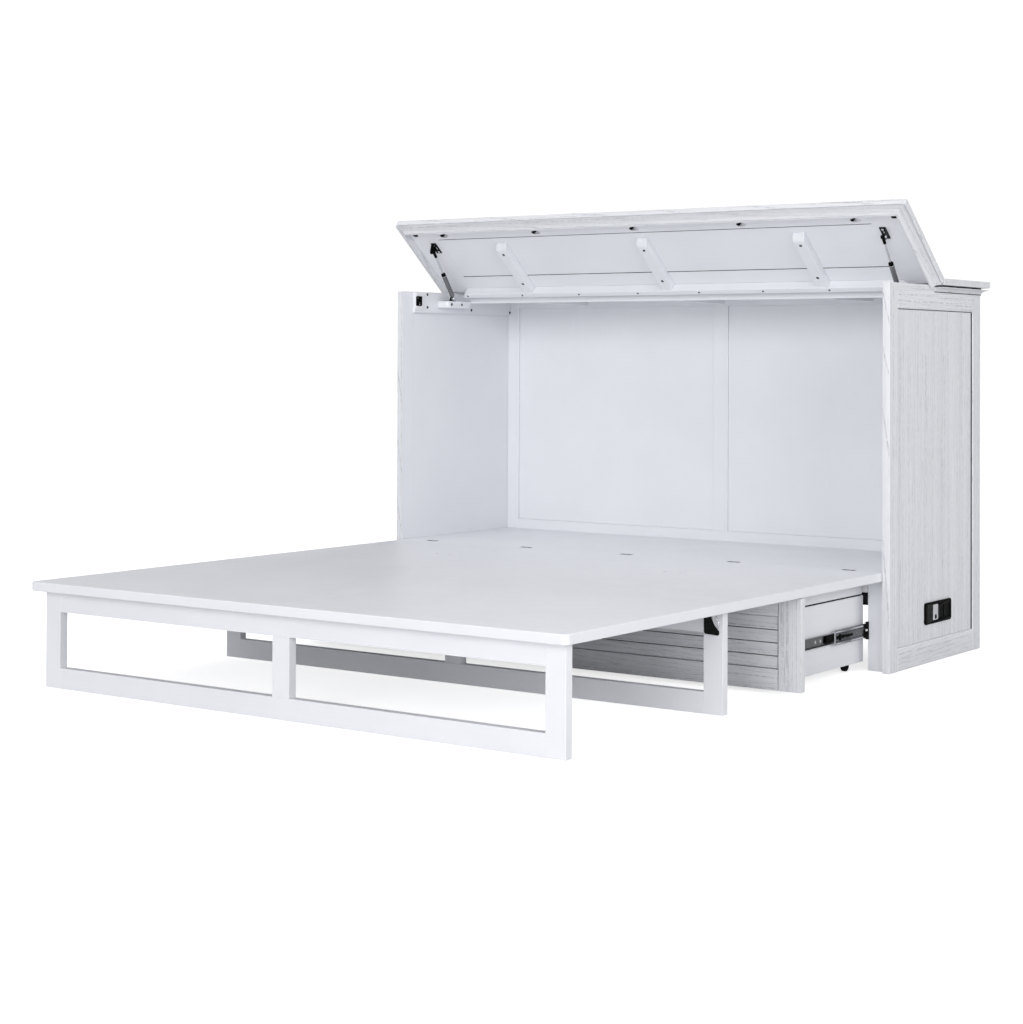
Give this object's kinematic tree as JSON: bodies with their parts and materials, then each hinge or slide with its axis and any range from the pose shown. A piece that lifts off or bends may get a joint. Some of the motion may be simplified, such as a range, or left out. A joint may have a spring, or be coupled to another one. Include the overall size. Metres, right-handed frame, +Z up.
{
  "type": "murphy wall bed",
  "caption": "Cabinet bed with a lift-up lid on gas struts, a folding platform on hinged leg frames, and a wide drawer that pulls out beneath it.",
  "frame": {"origin": "on the floor, under the middle of the opened bed's footprint", "axes": "+X to the right across the bed, +Y from the foot of the platform to the cabinet's back, +Z up"},
  "size_m": [1.704, 2.099, 1.2466],
  "materials": {
    "painted_wood": "smooth satin white paint, faintly cool",
    "limed_wood": "whitewashed open-grain wood",
    "black_steel": "satin black",
    "zinc_steel": "bright zinc plate",
    "strut_steel": "dark grey gloss",
    "black_plastic": "black, lightly glossy",
    "caster_rubber": "matt black"
  },
  "bodies": {
    "cabinet": {"back_frame": "painted_wood", "deck": "painted_wood", "top_board": "limed_wood", "top_rail_frame": "painted_wood", "outlet_plate": "black_plastic", "left_side_frame": "limed_wood", "left_side_panel": "limed_wood", "left_back_panel": "painted_wood", "left_top_moulding": "limed_wood", "left_cleat": "painted_wood", "left_strut_block": "painted_wood", "left_bearer": "painted_wood", "left_slide_outer": "zinc_steel", "right_side_frame": "limed_wood", "right_side_panel": "limed_wood", "right_back_panel": "painted_wood", "right_top_moulding": "limed_wood", "right_cleat": "painted_wood", "right_strut_block": "painted_wood", "right_bearer": "painted_wood", "right_slide_outer": "zinc_steel"},
    "lid": {"lid_board": "limed_wood", "lid_moulding": "limed_wood", "lid_rear_rail": "painted_wood", "lid_left_batten": "painted_wood", "lid_middle_batten": "painted_wood", "lid_right_batten": "painted_wood", "left_lid_bracket": "black_steel", "right_lid_bracket": "black_steel"},
    "left_strut_barrel": {"left_strut_barrel": "strut_steel"},
    "right_strut_barrel": {"right_strut_barrel": "strut_steel"},
    "left_strut_rod": {"left_strut_rod": "strut_steel"},
    "right_strut_rod": {"right_strut_rod": "strut_steel"},
    "drawer": {"drawer_front_frame": "limed_wood", "drawer_front_planks": "limed_wood", "drawer_left_side": "painted_wood", "drawer_right_side": "painted_wood", "drawer_back": "painted_wood", "drawer_bottom": "painted_wood", "left_slide_inner": "zinc_steel", "right_slide_inner": "zinc_steel", "left_caster_fork": "black_steel", "right_caster_fork": "black_steel"},
    "left_slide_middle": {"left_slide_middle": "zinc_steel"},
    "right_slide_middle": {"right_slide_middle": "zinc_steel"},
    "left_wheel": {"left_caster_wheel": "caster_rubber"},
    "right_wheel": {"right_caster_wheel": "caster_rubber"},
    "middle_panel": {"middle_rear_rail": "painted_wood", "middle_board": "painted_wood", "middle_front_rail": "painted_wood"},
    "foot_panel": {"foot_rear_rail": "painted_wood", "foot_left_board": "painted_wood", "foot_right_board": "painted_wood", "foot_front_rail": "painted_wood"},
    "front_legs": {"front_leg_frame": "painted_wood", "front_leg_left_bracket": "black_steel", "front_leg_right_bracket": "black_steel"},
    "middle_legs": {"middle_leg_frame": "painted_wood", "middle_leg_left_bracket": "black_steel", "middle_leg_right_bracket": "black_steel"}
  },
  "joints": [
    {"name": "lid_close", "type": "hinge", "parent": "cabinet", "child": "lid", "pos_m": [0, 0.7245, 1.045], "axis": [1, 0, 0], "range_deg": [0, 39.5]},
    {"name": "middle_fold", "type": "hinge", "parent": "cabinet", "child": "middle_panel", "pos_m": [0, 0.4605, 0.263], "axis": [-1, 0, 0], "range_deg": [0, 90]},
    {"name": "foot_fold", "type": "hinge", "parent": "middle_panel", "child": "foot_panel", "pos_m": [0, -0.2965, 0.2645], "axis": [-1, 0, 0], "range_deg": [0, 180]},
    {"name": "front_leg_fold", "type": "hinge", "parent": "foot_panel", "child": "front_legs", "pos_m": [0, -0.988, 0.236], "axis": [1, 0, 0], "range_deg": [0, 90]},
    {"name": "middle_leg_fold", "type": "hinge", "parent": "foot_panel", "child": "middle_legs", "pos_m": [0, -0.367, 0.236], "axis": [-1, 0, 0], "range_deg": [0, 90]},
    {"name": "drawer_slide", "type": "slide", "parent": "cabinet", "child": "drawer", "axis": [0, 1, 0], "range_m": [0, 0.451]},
    {"name": "left_strut_swing", "type": "hinge", "parent": "cabinet", "child": "left_strut_barrel", "pos_m": [-0.757, 0.6425, 1.008], "axis": [1, 0, 0], "range_deg": [0, 53.8]},
    {"name": "left_strut_stroke", "type": "slide", "parent": "left_strut_barrel", "child": "left_strut_rod", "axis": [0, -0.5915, 0.8063], "range_m": [-0.0478, 0]},
    {"name": "left_slide_travel", "type": "slide", "parent": "cabinet", "child": "left_slide_middle", "axis": [0, 1, 0], "range_m": [0, 0.2255]},
    {"name": "left_wheel_spin", "type": "hinge", "parent": "drawer", "child": "left_wheel", "pos_m": [-0.703, 0.4215, 0.014], "axis": [1, 0, 0], "continuous": true},
    {"name": "right_strut_swing", "type": "hinge", "parent": "cabinet", "child": "right_strut_barrel", "pos_m": [0.757, 0.6425, 1.008], "axis": [1, 0, 0], "range_deg": [0, 53.8]},
    {"name": "right_strut_stroke", "type": "slide", "parent": "right_strut_barrel", "child": "right_strut_rod", "axis": [0, -0.5915, 0.8063], "range_m": [-0.0478, 0]},
    {"name": "right_slide_travel", "type": "slide", "parent": "cabinet", "child": "right_slide_middle", "axis": [0, 1, 0], "range_m": [0, 0.2255]},
    {"name": "right_wheel_spin", "type": "hinge", "parent": "drawer", "child": "right_wheel", "pos_m": [0.703, 0.4215, 0.014], "axis": [1, 0, 0], "continuous": true}
  ],
  "couplings": [
    {"joint": "left_strut_swing", "follows": "lid_close", "ratio": 1.3604},
    {"joint": "left_strut_stroke", "follows": "lid_close", "m_per_rad": -0.06922},
    {"joint": "left_slide_travel", "follows": "drawer_slide", "ratio": 0.5},
    {"joint": "right_strut_swing", "follows": "lid_close", "ratio": 1.3604},
    {"joint": "right_strut_stroke", "follows": "lid_close", "m_per_rad": -0.06922},
    {"joint": "right_slide_travel", "follows": "drawer_slide", "ratio": 0.5}
  ]
}
